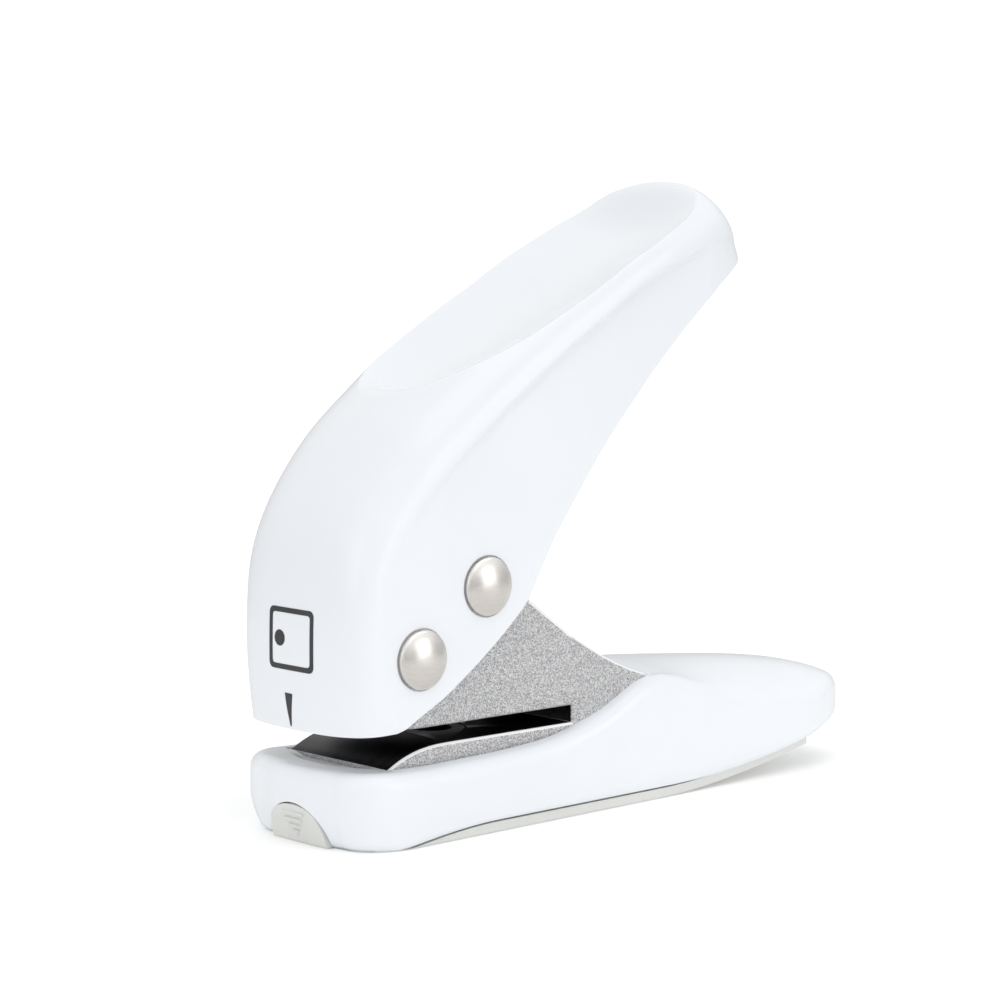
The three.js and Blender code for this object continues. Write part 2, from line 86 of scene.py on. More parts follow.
# %% [markdown]
# ## Helpers for meshes
# Every casing of the punch is a smooth skin. Such a skin could be pushed into shape by
# hand, but a grid of points worked out by a formula gives the same skin every time. These
# helpers turn grids into meshes, draw smooth curves, and finish and cut the pieces.

# %% Meshes from grids of points
def shade_smooth(mesh, crease=None):
    """Smooth shading, apart from edges that turn by more than the crease angle in degrees."""
    mesh.polygons.foreach_set("use_smooth", np.ones(len(mesh.polygons), bool))
    if crease:
        mesh.set_sharp_from_angle(angle=np.radians(crease))


def mesh_object(name, points, faces, crease=None):
    """A mesh object at the origin from points in millimetres; doubles are merged."""
    mesh = bpy.data.meshes.new(name)
    mesh.from_pydata((np.asarray(points, float).reshape(-1, 3) * MM).tolist(), [], faces)
    work = bmesh.new()
    work.from_mesh(mesh)
    bmesh.ops.remove_doubles(work, verts=work.verts, dist=2e-6)
    bmesh.ops.dissolve_degenerate(work, edges=work.edges, dist=1e-7)
    bmesh.ops.recalc_face_normals(work, faces=work.faces)
    work.to_mesh(mesh)
    work.free()
    shade_smooth(mesh, crease)
    piece = bpy.data.objects.new(name, mesh)
    bpy.context.collection.objects.link(piece)
    return piece


def grid_faces(rows, columns, close_rows=False, close_columns=False):
    """Quads that join a grid of points, row by row, wrapped round where it closes."""
    i = np.arange(rows if close_rows else rows - 1)
    j = np.arange(columns if close_columns else columns - 1)
    i, j = (a.ravel() for a in np.meshgrid(i, j, indexing="ij"))
    up, on = (i + 1) % rows, (j + 1) % columns
    return np.stack([i * columns + j, up * columns + j, up * columns + on, i * columns + on], 1).tolist()


print("a grid of 3 by 3 points has", len(grid_faces(3, 3)), "faces")


# %% Curves
def smooth_curve(points, count):
    """A smooth curve through points: Catmull-Rom cubics, one per pair, sampled evenly."""
    p = np.asarray(points, float)
    p = np.vstack([2 * p[0] - p[1], p, 2 * p[-1] - p[-2]])
    u = np.linspace(0, len(p) - 3, count)
    k = np.minimum(u.astype(int), len(p) - 4)
    f = (u - k)[:, None]
    a, b, c, d = p[k], p[k + 1], p[k + 2], p[k + 3]
    square, cube = 2 * a - 5 * b + 4 * c - d, 3 * b - a - 3 * c + d
    return 0.5 * (2 * b + (c - a) * f + square * f**2 + cube * f**3)


def bezier(a, b, c, d, count):
    """A cubic from a to d, pulled towards b and c: the four Bernstein weights times the points."""
    t = np.linspace(0, 1, count)[:, None]
    a, b, c, d = (np.asarray(v, float) for v in (a, b, c, d))
    return (1 - t) ** 3 * a + 3 * t * (1 - t) ** 2 * b + 3 * t**2 * (1 - t) * c + t**3 * d


def ease(x):
    """Rises smoothly from 0 to 1 as x goes from 0 to 1: 3x^2 - 2x^3."""
    x = np.clip(x, 0, 1)
    return x * x * (3 - 2 * x)


print("ease at a quarter:", ease(0.25))


# %% Bodies, slots and modifiers
def finish_piece(piece, body, slot, *nodes, finishes=()):
    """Attaches a piece to its body, gives it the slot's finish or the finishes given, and hides the measured
    pieces it stands for.
    """
    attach(piece, body)
    if nodes:
        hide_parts(*nodes)
    piece.data.materials.clear()
    for finish in finishes or [FINISHES[slot]]:
        piece.data.materials.append(finish)
    print(f"{piece.name}: {len(piece.data.polygons)} faces")


def print_span(name, points):
    """Prints the least and the greatest x, y and z of a skin's points."""
    flat = points.reshape(-1, 3)
    print(name, "spans", np.round(flat.min(0), 1), "to", np.round(flat.max(0), 1), "mm")


def baked(piece):
    """The piece with its modifiers worked into its own mesh."""
    bpy.context.view_layer.update()
    graph = bpy.context.evaluated_depsgraph_get()
    mesh = bpy.data.meshes.new_from_object(piece.evaluated_get(graph))
    piece.modifiers.clear()
    piece.data = mesh


def carve(piece, *cutters):
    """Cuts closed shapes out of a piece and removes the cutters."""
    for cutter in cutters:
        cut = piece.modifiers.new("cut", "BOOLEAN")
        cut.operation, cut.solver, cut.object = "DIFFERENCE", "EXACT", cutter
    baked(piece)
    for cutter in cutters:
        bpy.data.objects.remove(cutter)


# %% [markdown]
# ## Finishes
# The real punch has a white plastic, a milky clear one and a nylon, a sand-textured silver
# paint, satin nickel rivets and plain steel works. Each finish could be one colour, but
# plastic has faint flow and handling marks, paint has grains, and rolled or turned steel
# has lines. Three node groups make those marks once: cloudy marks, grains and fine lines.

# %% Node groups
def node_group(name, inputs, outputs):
    """A shader node group with named value inputs (with defaults) and named outputs."""
    group = bpy.data.node_groups.new(name, "ShaderNodeTree")
    group.interface.new_socket("Vector", in_out="INPUT", socket_type="NodeSocketVector")
    for label, default in inputs.items():
        socket = group.interface.new_socket(label, in_out="INPUT", socket_type="NodeSocketFloat")
        socket.default_value = default
    for label in outputs:
        group.interface.new_socket(label, in_out="OUTPUT", socket_type="NodeSocketFloat")
    return group, group.nodes.new("NodeGroupInput"), group.nodes.new("NodeGroupOutput")


def maths(tree, operation, first, second=0.0, third=None):
    """A Math node; each argument is a number or a socket."""
    node = tree.nodes.new("ShaderNodeMath")
    node.operation = operation
    for socket, value in zip(node.inputs, (first, second, third)):
        if value is None:
            continue
        if isinstance(value, (int, float)):
            socket.default_value = value
        else:
            tree.links.new(value, socket)
    return node.outputs[0]


def noise(tree, vector, scale, detail=2.0, roughness=0.5):
    """A Noise Texture node; scale is a number or a socket."""
    node = tree.nodes.new("ShaderNodeTexNoise")
    node.inputs["Detail"].default_value, node.inputs["Roughness"].default_value = detail, roughness
    tree.links.new(vector, node.inputs["Vector"])
    if isinstance(scale, (int, float)):
        node.inputs["Scale"].default_value = scale
    else:
        tree.links.new(scale, node.inputs["Scale"])
    return node.outputs[0]


def cloud_group():
    """Cloudy marks: a broad noise and a share of a fine one as a mask, and the fine one as relief."""
    values = {"Broad": 60.0, "Fine": 900.0, "Share": 0.35}
    group, given, out = node_group("cloudy_marks", values, ("Mask", "Relief"))
    broad = noise(group, given.outputs["Vector"], given.outputs["Broad"], 3.0)
    fine = noise(group, given.outputs["Vector"], given.outputs["Fine"], 2.0)
    part = maths(group, "MULTIPLY", fine, given.outputs["Share"])
    rest = maths(group, "MULTIPLY", broad, maths(group, "SUBTRACT", 1.0, given.outputs["Share"]))
    group.links.new(maths(group, "ADD", part, rest), out.inputs["Mask"])
    group.links.new(fine, out.inputs["Relief"])
    return group


def grain_group():
    """Sand grains: a random shade per cell mixed with noise, a few bright cells, and cells as relief."""
    values = {"Scale": 3200.0, "Contrast": 1.0}
    group, given, out = node_group("sand_grains", values, ("Grain", "Sparkle", "Relief"))
    cells = group.nodes.new("ShaderNodeTexVoronoi")
    group.links.new(given.outputs["Vector"], cells.inputs["Vector"])
    group.links.new(given.outputs["Scale"], cells.inputs["Scale"])
    split = group.nodes.new("ShaderNodeSeparateColor")
    group.links.new(cells.outputs["Color"], split.inputs[0])
    coarse = maths(group, "MULTIPLY", given.outputs["Scale"], 0.55)
    soft = noise(group, given.outputs["Vector"], coarse, 3.0, 0.7)
    per_cell = maths(group, "MULTIPLY", split.outputs[0], 0.6)
    shade = maths(group, "ADD", per_cell, maths(group, "MULTIPLY", soft, 0.8))
    about_zero = maths(group, "SUBTRACT", shade, 0.7)
    spread = maths(group, "MULTIPLY_ADD", about_zero, given.outputs["Contrast"], 0.5)
    group.links.new(spread, out.inputs["Grain"])
    group.links.new(maths(group, "GREATER_THAN", split.outputs[1], 0.86), out.inputs["Sparkle"])
    height = maths(group, "SUBTRACT", soft, maths(group, "MULTIPLY", cells.outputs["Distance"], 0.6))
    group.links.new(height, out.inputs["Relief"])
    return group


def line_group():
    """Fine parallel lines: noise drawn out along one axis by a squeezed vector."""
    group, given, out = node_group("fine_lines", {"Scale": 1500.0, "Stretch": 0.04}, ("Lines",))
    mapping = group.nodes.new("ShaderNodeCombineXYZ")
    split = group.nodes.new("ShaderNodeSeparateXYZ")
    group.links.new(given.outputs["Vector"], split.inputs[0])
    group.links.new(maths(group, "MULTIPLY", split.outputs[0], given.outputs["Stretch"]), mapping.inputs[0])
    group.links.new(split.outputs[1], mapping.inputs[1])
    group.links.new(split.outputs[2], mapping.inputs[2])
    group.links.new(noise(group, mapping.outputs[0], given.outputs["Scale"], 3.0, 0.6), out.inputs["Lines"])
    return group


CLOUDS, GRAINS, LINES = cloud_group(), grain_group(), line_group()
print("node groups:", CLOUDS.name, GRAINS.name, LINES.name)


# %% Materials
def start_material(name, **constants):
    """A material with a Principled shader whose constant sockets are set directly."""
    material = bpy.data.materials.new(name)
    material.use_nodes = True
    shader = material.node_tree.nodes["Principled BSDF"]
    for label, value in constants.items():
        shader.inputs[label.replace("_", " ")].default_value = value
    coordinates = material.node_tree.nodes.new("ShaderNodeTexCoord")
    return material, material.node_tree, shader, coordinates.outputs["Object"]


def use_group(tree, group, vector, **values):
    """Places a node group in a material with its own values."""
    node = tree.nodes.new("ShaderNodeGroup")
    node.node_tree = group
    tree.links.new(vector, node.inputs["Vector"])
    for label, value in values.items():
        node.inputs[label].default_value = value
    return node


def blend_colour(tree, mask, low, high, socket):
    """Colours from low to high as the mask rises, into a socket."""
    ramp = tree.nodes.new("ShaderNodeValToRGB")
    ramp.color_ramp.elements[0].position, ramp.color_ramp.elements[1].position = 0.3, 0.7
    ramp.color_ramp.elements[0].color, ramp.color_ramp.elements[1].color = (*low, 1), (*high, 1)
    tree.links.new(mask, ramp.inputs[0])
    tree.links.new(ramp.outputs[0], socket)


def relief(tree, height, shader, strength, depth):
    """A bump of the given strength and depth in metres, into the shader's normal."""
    bump = tree.nodes.new("ShaderNodeBump")
    bump.inputs["Strength"].default_value, bump.inputs["Distance"].default_value = strength, depth
    tree.links.new(height, bump.inputs["Height"])
    tree.links.new(bump.outputs[0], shader.inputs["Normal"])


def plastic(name, low, high, smooth, rough, **constants):
    """Moulded plastic: cloudy colour, roughness marked by handling, and a faint moulded relief."""
    material, tree, shader, place = start_material(name, **constants)
    marks = use_group(tree, CLOUDS, place, Broad=35.0, Fine=260.0, Share=0.25)
    blend_colour(tree, marks.outputs["Mask"], low, high, shader.inputs["Base Color"])
    level = maths(tree, "MULTIPLY_ADD", marks.outputs["Mask"], rough - smooth, smooth)
    tree.links.new(level, shader.inputs["Roughness"])
    relief(tree, marks.outputs["Relief"], shader, 0.05, 2e-5)
    return material


def steel(name, low, high, smooth, rough, scale, stretch):
    """Rolled, turned or drawn steel: fine lines in colour, roughness and relief."""
    material, tree, shader, place = start_material(name, Metallic=1.0)
    lines = use_group(tree, LINES, place, Scale=scale, Stretch=stretch)
    blend_colour(tree, lines.outputs["Lines"], low, high, shader.inputs["Base Color"])
    level = maths(tree, "MULTIPLY_ADD", lines.outputs["Lines"], rough - smooth, smooth)
    tree.links.new(level, shader.inputs["Roughness"])
    relief(tree, lines.outputs["Lines"], shader, 0.12, 2e-5)
    return material


def sand_paint(name):
    """Silver paint over fine sand: light and dark grains, a few bright flakes, a gritty relief."""
    material, tree, shader, place = start_material(name, Metallic=0.4, Specular_IOR_Level=0.5)
    grains = use_group(tree, GRAINS, place, Scale=8000.0, Contrast=1.5)
    dark, light = (0.33, 0.33, 0.34), (0.74, 0.74, 0.75)
    blend_colour(tree, grains.outputs["Grain"], dark, light, shader.inputs["Base Color"])
    level = maths(tree, "MULTIPLY_ADD", grains.outputs["Sparkle"], -0.25, 0.55)
    tree.links.new(level, shader.inputs["Roughness"])
    relief(tree, grains.outputs["Relief"], shader, 0.55, 1.2e-4)
    return material


FINISHES = {
    "white_plastic": plastic(
        "gloss_white_plastic", (0.83, 0.86, 0.895), (0.855, 0.88, 0.91), 0.2, 0.3,
        Coat_Weight=0.25, Coat_Roughness=0.12, Specular_IOR_Level=0.45,
    ),
    "silver_paint": sand_paint("silver_sand_paint"),
    "satin_nickel": steel("satin_nickel", (0.80, 0.775, 0.74), (0.86, 0.835, 0.80), 0.27, 0.34, 2600.0, 0.15),
    "tool_steel": steel("ground_tool_steel", (0.36, 0.37, 0.39), (0.58, 0.59, 0.61), 0.2, 0.42, 1800.0, 0.06),
    "zinc_steel": steel("bright_zinc_steel", (0.50, 0.52, 0.55), (0.70, 0.72, 0.74), 0.28, 0.5, 900.0, 0.3),
    "spring_steel": steel(
        "drawn_spring_steel", (0.26, 0.27, 0.29), (0.46, 0.47, 0.49), 0.25, 0.45, 3000.0, 0.5
    ),
    "nylon": plastic("natural_nylon", (0.72, 0.69, 0.61), (0.82, 0.79, 0.72), 0.4, 0.6),
    "clear_plastic": plastic(
        "milky_clear_plastic", (0.82, 0.835, 0.80), (0.88, 0.89, 0.865), 0.28, 0.42,
        Transmission_Weight=0.18, IOR=1.45,
    ),
}
# Painted highlight: a near-white colour for the frame's rounded edges, standing for the light that they
# catch.
PAINTED_EDGE_HIGHLIGHT = plastic("painted_edge_highlight", (0.90, 0.90, 0.90), (0.96, 0.96, 0.96), 0.25, 0.4)
# Painted shade: a near-black steel for the throat and the die, standing for the dark inside the slot.
PAINTED_THROAT_SHADE = steel("painted_throat_shade", (0.018, 0.018, 0.02), (0.05, 0.05, 0.055), 0.28, 0.5, 700.0, 0.06)
INK = plastic("black_print_ink", (0.022, 0.022, 0.026), (0.05, 0.05, 0.056), 0.35, 0.5)
print("finishes:", ", ".join(FINISHES))

# %% [markdown]
# ## Handle
# The handle is one moulded skin, open below. Its nose is a box with round corners, which
# turns into a long arched grip with an oval hollow for the palm and a round tail. It
# could be carved from a block, but a skin drawn as cross-sections keeps the shading
# smooth. Each section is an arch: a rounded crown, a soft shoulder and a flat side. It
# hangs between a point on the crown line and one on the lower edge. Where the grip is
# wider than the nose, the side steps in below the shoulder, which leaves a soft crease.

# %% Stations along the handle
# Lower edge x and z, crown x and z, half width at the shoulder, depth of the arch.
HANDLE_STATIONS = np.array([
    [-46.9, 16.5, -54.9, 16.3, 13.6, 7.2],
    [-45.4, 17.0, -55.35, 20.5, 13.8, 8.0],
    [-43.9, 17.8, -55.45, 28.0, 13.8, 8.2],
    [-41.0, 19.3, -55.2, 34.8, 13.8, 8.2],
    [-38.0, 20.9, -54.3, 41.6, 13.85, 8.2],
    [-34.5, 23.2, -52.2, 47.6, 13.9, 8.3],
    [-30.5, 26.1, -48.6, 53.5, 14.1, 8.5],
    [-26.3, 29.5, -43.9, 59.1, 14.4, 8.7],
    [-22.7, 33.0, -38.1, 64.1, 14.7, 8.9],
    [-20.2, 37.2, -31.5, 69.1, 14.9, 9.0],
    [-17.3, 42.0, -24.0, 74.0, 15.1, 9.1],
    [-12.9, 47.8, -16.3, 78.8, 15.2, 9.2],
    [-8.0, 54.0, -8.0, 83.2, 15.2, 9.3],
    [-2.2, 60.2, -0.2, 87.3, 15.1, 9.3],
    [4.2, 66.5, 7.2, 90.4, 14.9, 9.3],
    [11.0, 72.4, 12.7, 92.2, 14.4, 9.0],
    [17.0, 77.0, 16.2, 93.4, 13.5, 8.6],
    [21.8, 79.6, 19.1, 92.8, 12.0, 7.9],
    [25.2, 81.2, 21.6, 90.9, 9.9, 6.4],
    [27.2, 82.4, 24.2, 88.3, 6.6, 4.3],
    [28.4, 84.2, 27.2, 86.0, 0.0, 1.2],
])
# Where the palm hollow starts and ends, in stations, and how far across and deep it goes.
HOLLOW_START, HOLLOW_END = 7.7, 16.9
HOLLOW_HALF, HOLLOW_DEPTH = 14.0, 2.4
# The side stands at this half width, takes this share of the step in beyond it, and steps
# in by a little more towards the tail.
SIDE_HALF, SIDE_SHARE, TAIL_STEP = 13.8, 0.8, 0.35
HANDLE_WALL = 2.0


def arch(y, half, depth, power):
    """Drop of the arch at y: depth times 1 - (1 - (y/half)^power)^(1/power)."""
    share = np.clip(np.abs(y) / np.maximum(half, 1e-6), 0, 1)
    return depth * (1 - (1 - share**power) ** (1 / power))


def handle_surface(rows=260):
    """Points of the outer skin, as rows (stations) by columns (across, from side to side).

    Across one half: columns from the middle to the rim of the hollow, from the rim to the
    shoulder, and down the side. A point lies y from the middle plane and q below the crown
    point, towards the lower edge. The hollow is a parabola between its rims, and the arch
    beyond them is a superellipse. The side runs straight down from the arch, less its step.
    """
    station = np.linspace(0, len(HANDLE_STATIONS) - 1, rows)
    data = smooth_curve(HANDLE_STATIONS, rows)
    low, crown = data[:, 0:2], data[:, 2:4]
    half, depth = np.maximum(data[:, 4], 0)[:, None], data[:, 5][:, None]
    down = low - crown
    reach = np.linalg.norm(down, axis=1)[:, None]
    down = down / reach
    power = 2.9 - 0.75 * ease((station[:, None] - 3.0) / 6.0)

    along = (station - HOLLOW_START) / (HOLLOW_END - HOLLOW_START)
    oval = np.clip(1 - np.abs(2 * along - 1) ** 2.6, 0, 1) ** 0.5
    rim = np.maximum(HOLLOW_HALF * oval, 3.0 * np.minimum(1.0, half[:, 0] / 9.0))[:, None]
    rim = np.minimum(rim, 0.92 * half)
    fade = (ease(along / 0.1) * ease((1 - along) / 0.26))[:, None]

    inner = np.linspace(0, 1, 34)[None, :]
    y_in = rim * inner
    dome = arch(y_in, half, depth, power)
    at_rim = arch(rim, half, depth, power)
    dish = at_rim + HOLLOW_DEPTH * (1 - inner**2)
    q_in = dome + fade * (dish - dome)

    turn = np.linspace(0, 1, 30)[None, 1:]
    start = np.arcsin(np.clip((rim / np.maximum(half, 1e-6)) ** (power / 2), 0, 1))
    angle = start + (np.pi / 2 - start) * turn
    y_out = half * np.sin(angle) ** (2 / power)
    q_out = depth * (1 - np.cos(angle) ** (2 / power))

    fall = (np.linspace(0, 1, 30)[None, 1:]) ** 1.25
    q_side = depth + (reach - depth) * fall
    tail = TAIL_STEP * np.clip((half - 6.0) / 6.0, 0, 1) * ease((station[:, None] - 12.0) / 4.0)
    step = (SIDE_SHARE * np.maximum(half - SIDE_HALF, 0) + tail) * ease((q_side - depth) / 1.5)
    y_side = np.maximum(half - step, 0)

    y = np.concatenate([y_in, y_out, y_side], 1)
    q = np.concatenate([q_in, q_out, q_side], 1)
    y = np.concatenate([-y[:, :0:-1], y], 1)
    q = np.concatenate([q[:, :0:-1], q], 1)
    x = crown[:, 0:1] + q * down[:, 0:1]
    z = crown[:, 1:2] + q * down[:, 1:2]
    return np.stack([x, y, z], 2)


handle_points = handle_surface()
handle = mesh_object("handle_skin", handle_points, grid_faces(*handle_points.shape[:2]), crease=50)
wall = handle.modifiers.new("wall", "SOLIDIFY")
wall.thickness, wall.offset = HANDLE_WALL * MM, -1.0
wall.use_even_offset = False
baked(handle)
finish_piece(handle, "handle", "white_plastic", "handle_shell")
print_span("handle", handle_points)

# %% [markdown]
# ## Base
# The base is a moulded tray turned upside down: a low front, sides that sweep up beside
# the frame, and a domed tail. It could be made of blocks, but its top edge is one long
# rounded sweep. So one closed profile is carried round the plan outline: up the wall,
# over the rounded edge, across the top to the pocket for the frame, down into the pocket,
# and back underneath as the inner wall.

# %% Plan outline and heights of the base
(BASE_X0, _, _), (BASE_X1, BASE_HALF, _) = (np.array(corner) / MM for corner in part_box("base_shell"))
FRAME_LOW, FRAME_HIGH = (np.array(corner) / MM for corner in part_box("punch_frame"))
GAP = 0.3
POCKET_X0, POCKET_X1 = FRAME_LOW[0] - GAP, FRAME_HIGH[0] + GAP
POCKET_HALF = FRAME_HIGH[1] + GAP
DECK_TOP, DECK_BOTTOM = FRAME_LOW[2] - GAP, FRAME_LOW[2] - 1.8
BASE_WALL = 2.0
# How far the front bows out, the radius of its corners, how much narrower the base is where
# the tail starts to round, and how long that round part is.
FRONT_BOW, FRONT_CORNER, TAIL_IN, TAIL_LENGTH = 0.8, 6.8, 3.0, 20.0


def plan_outline(x0, x1, half):
    """Half of the plan outline, from the middle of the bowed front round to the tip of the tail.

    Front, corner and tail are cubics, which start and end in line with what they join. The
    side is straight.
    """
    flat, bow, corner = half - FRONT_CORNER, x0 + FRONT_BOW, FRONT_CORNER
    tail_x, tail_half = x1 - TAIL_LENGTH, half - TAIL_IN
    front = bezier((x0, 0), (x0, half / 3), (x0 + 0.55 * FRONT_BOW, 0.7 * flat), (bow, flat), 14)
    turn = bezier(
        (bow, flat), (bow, half - 0.42 * corner), (bow + 0.42 * corner, half), (bow + corner, half), 26
    )
    side = np.linspace((bow + corner, half), (tail_x, tail_half), 90)
    tail = bezier(
        (tail_x, tail_half), (x1 - 0.4 * TAIL_LENGTH, tail_half), (x1, 0.6 * tail_half), (x1, 0), 60
    )
    return np.vstack([front, turn[1:], side[1:], tail[1:]])


# X and height of the middle line over the base: level front, S-curve beside the frame, tail.
CROWN_LINE = np.array([
    [-60, 11.2], [-46, 11.1], [-40, 10.9], [-35, 11.1], [-30, 11.2], [-24.3, 11.4],
    [-18.9, 11.7], [-14.6, 12.3], [-10.4, 13.3], [-5.6, 14.7], [-2.5, 16.2], [0.5, 17.8],
    [3.2, 19.0], [6, 19.65], [10, 19.8], [14.6, 19.6], [21, 19.1], [27.6, 18.5],
    [35, 17.7], [43.2, 16.5], [50, 14.9], [55, 12.9],
])


def base_height(x, y):
    """Height of the top of the base at x and y.

    The crown line, averaged over 5 mm of x, less a dome across the tail, where the drop
    grows with the 2.4 power of y, and less an oval scoop in front of the frame.
    """
    x = np.asarray(x, float)
    offsets = np.linspace(-2.5, 2.5, 11)
    crown = sum(np.interp(x + offset, *CROWN_LINE.T) for offset in offsets) / len(offsets)
    drop = 5.4 * ease((x - 0.0) / 27.0) * (1 - 0.25 * ease((x - 40) / 15))
    scoop = np.hypot((x - POCKET_X0) / 4.0, y / 9.5)
    return crown - drop * np.clip(np.abs(y) / 12.0, 0, 1.2) ** 2.4 - 0.6 * ease((1 - scoop) / 0.35)


def underside(x):
    """Height of the lower rim: on the desk in front, a quarter sine up over the door's edge, and a
    parabola up to the tail."""
    x = np.asarray(x, float)
    step = 1.7 * np.sin(np.pi / 2 * np.clip((x + 46.5) / 19.0, 0, 1))
    return step + 7.0 * np.clip((x - 8.0) / 47.0, 0, 1) ** 2


print("top of the base in front, beside the frame and on the tail:", base_height([-50, 0, 30], 0).round(1))

# %% Base surface
CHIP_WINDOW_X, CHIP_WINDOW_HALF = (-40.0, -10.0), 6.5
# The foot of the wall leans in below a height, by a little at the sides and more in front.
LEAN_HEIGHT, LEAN_SIDE, LEAN_FRONT = 5.5, 0.35, 1.75


def base_surface():
    """One closed profile at every point of the closed outline, as outline points by profile points.

    Wall: from the lower rim straight up, leaning in below at the front. Edge: a quarter
    turn of radius r, inset r(1 - cos a), lowered r(1 - sin a). Top: straight in to the
    pocket. Then down to the deck, in to the chip window, under the deck and down the
    inner wall.
    """
    half = plan_outline(BASE_X0, BASE_X1, BASE_HALF)
    outline = np.vstack([half, half[-2:0:-1] * [1, -1]])
    ahead, behind = np.roll(outline, -1, 0), np.roll(outline, 1, 0)
    tangent = ahead - behind
    tangent /= np.linalg.norm(tangent, axis=1)[:, None]
    inward = np.stack([tangent[:, 1], -tangent[:, 0]], 1)
    x, y = outline.T

    tail_share = np.clip((x - POCKET_X1) / (BASE_X1 - POCKET_X1), 0, 1)
    pocket_y = np.clip(y, -POCKET_HALF, POCKET_HALF)
    fan = POCKET_HALF * np.sign(y) * (1 - tail_share**1.6)
    pocket = np.stack([np.clip(x, POCKET_X0, POCKET_X1), np.where(x > POCKET_X1, fan, pocket_y)], 1)
    window_y = np.clip(pocket[:, 1], -CHIP_WINDOW_HALF, CHIP_WINDOW_HALF)
    window = np.stack([np.clip(x, *CHIP_WINDOW_X), window_y], 1)

    front = ease((-44.0 - x) / 8.0)
    radius = (2.4 - 0.3 * front - 0.8 * ease((x - 2) / 14))[:, None]
    rim = underside(x)[:, None]
    rise = np.linspace(0, 1, 16)[None, :]
    angle = np.linspace(0, np.pi / 2, 14)[None, 1:]
    inset = radius * (1 - np.cos(angle))
    edge_xy = outline[:, None, :] + inward[:, None, :] * inset[..., None]
    edge_z = base_height(edge_xy[..., 0], edge_xy[..., 1]) - radius * (1 - np.sin(angle))
    shoulder = base_height(x, y)[:, None] - radius
    wall_z = rim + (shoulder - rim) * rise
    lean = (LEAN_SIDE + (LEAN_FRONT - LEAN_SIDE) * front)[:, None]
    lean = lean * np.clip((LEAN_HEIGHT - wall_z) / LEAN_HEIGHT, 0, 1) ** 1.6
    lean = lean + 0.5 * np.clip((rim + 0.7 - wall_z) / 0.7, 0, 1) ** 2
    wall_xy = outline[:, None, :] + inward[:, None, :] * lean[..., None]

    start = edge_xy[:, -1]
    across = np.linspace(0, 1, 40)[None, 1:, None]
    top_xy = start[:, None, :] + (pocket - start)[:, None, :] * across
    top_z = base_height(top_xy[..., 0], top_xy[..., 1])
    lip = np.clip(1 - np.linalg.norm(top_xy - pocket[:, None, :], axis=2) / 0.4, 0, 1)
    top_z = top_z - 0.4 * lip**2

    down = np.linspace(0, 1, 8)[None, 1:]
    pocket_xy = np.repeat(pocket[:, None, :], down.shape[1], 1)
    pocket_z = top_z[:, -1:] + (DECK_TOP - top_z[:, -1:]) * down
    deck_xy = window[:, None, :] + np.zeros((1, 2, 1))
    deck_z = np.stack([np.full(len(x), DECK_TOP), np.full(len(x), DECK_BOTTOM)], 1)

    inner = outline + inward * (BASE_WALL + 0.6)
    back = np.linspace(0, 1, 46)[None, 1:, None]
    ceiling_xy = window[:, None, :] + (inner - window)[:, None, :] * back
    over = base_height(ceiling_xy[..., 0], ceiling_xy[..., 1]) - BASE_WALL - 1.2 * back[..., 0] ** 6
    room = ease((ceiling_xy[..., 0] - POCKET_X1 - 2.0) / 1.5)
    ceiling_z = np.maximum(DECK_BOTTOM + room * (over - DECK_BOTTOM), rim + 0.8)
    drop = np.linspace(0, 1, 8)[None, 1:]
    inner_z = ceiling_z[:, -1:] + (rim - ceiling_z[:, -1:]) * drop
    inner_xy = np.repeat(inner[:, None, :], drop.shape[1], 1)

    xy = np.concatenate([wall_xy, edge_xy, top_xy, pocket_xy, deck_xy, ceiling_xy, inner_xy], 1)
    z = np.concatenate([wall_z, edge_z, top_z, pocket_z, deck_z, ceiling_z, inner_z], 1)
    return np.concatenate([xy, z[..., None]], 2)


base_points = base_surface()
base_faces = grid_faces(*base_points.shape[:2], close_rows=True, close_columns=True)
base = mesh_object("base_skin", base_points, base_faces, crease=38)
print_span("base", base_points)

# %% [markdown]
# ## Door tab
# The door that closes the base ends at the front in a half-oval tab that a fingertip
# pulls. Three short bars and a small triangle stand proud of it and point down. The tab
# could be a flat plate, but it has to follow the bowed front of the base. So it is a grid
# of its own on the same curve, in a notch cut by the same oval, grown by a thin gap. The
# door's long edges show below the base's rim, and each of them is a slim wedge.

# %% Notch for the tab
TAB_HALF, TAB_HEIGHT, TAB_POWER, NOTCH_GAP = 6.1, 5.6, 0.86, 0.25


def tab_outline(grow, count=48):
    """The half-oval in y and z: y follows a cosine and z a power of a sine, from foot to foot."""
    angle = np.linspace(0, np.pi, count)
    y = (TAB_HALF + grow) * np.cos(angle)
    z = (TAB_HEIGHT + grow) * np.sin(angle) ** TAB_POWER
    return np.stack([y, z], 1)


def prism_x(name, outline, x0, x1):
    """A closed block along x: the outline in y and z at both ends, capped."""
    count = len(outline)
    ends = [np.column_stack([np.full(count, x), outline]) for x in (x0, x1)]
    caps = [list(range(count)), list(range(2 * count - 1, count - 1, -1))]
    return mesh_object(name, np.vstack(ends), grid_faces(2, count, close_columns=True) + caps)


notch_half, below_desk = TAB_HALF + NOTCH_GAP, -4.0
notch_line = np.vstack([tab_outline(NOTCH_GAP), [[-notch_half, below_desk], [notch_half, below_desk]]])
carve(base, prism_x("notch", notch_line, BASE_X0 - 3.0, BASE_X0 + 4.5))
shade_smooth(base.data, 38)
finish_piece(base, "base", "white_plastic", "base_shell")


# %% Tab
TAB_DEPTH, TAB_BACKSET, TAB_PROUD = 3.6, 0.1, 0.3
TAB_BARS = ((4.35, 2.5), (3.4, 1.9), (2.45, 1.3))


def front_x(y, z):
    """X of the base's front wall at y and z: a parabola across the bow, leaning in towards the desk."""
    lean = LEAN_FRONT * np.clip((LEAN_HEIGHT - z) / LEAN_HEIGHT, 0, 1) ** 1.6
    return BASE_X0 + 0.9 * FRONT_BOW * (np.abs(y) / 8.2) ** 2 + lean


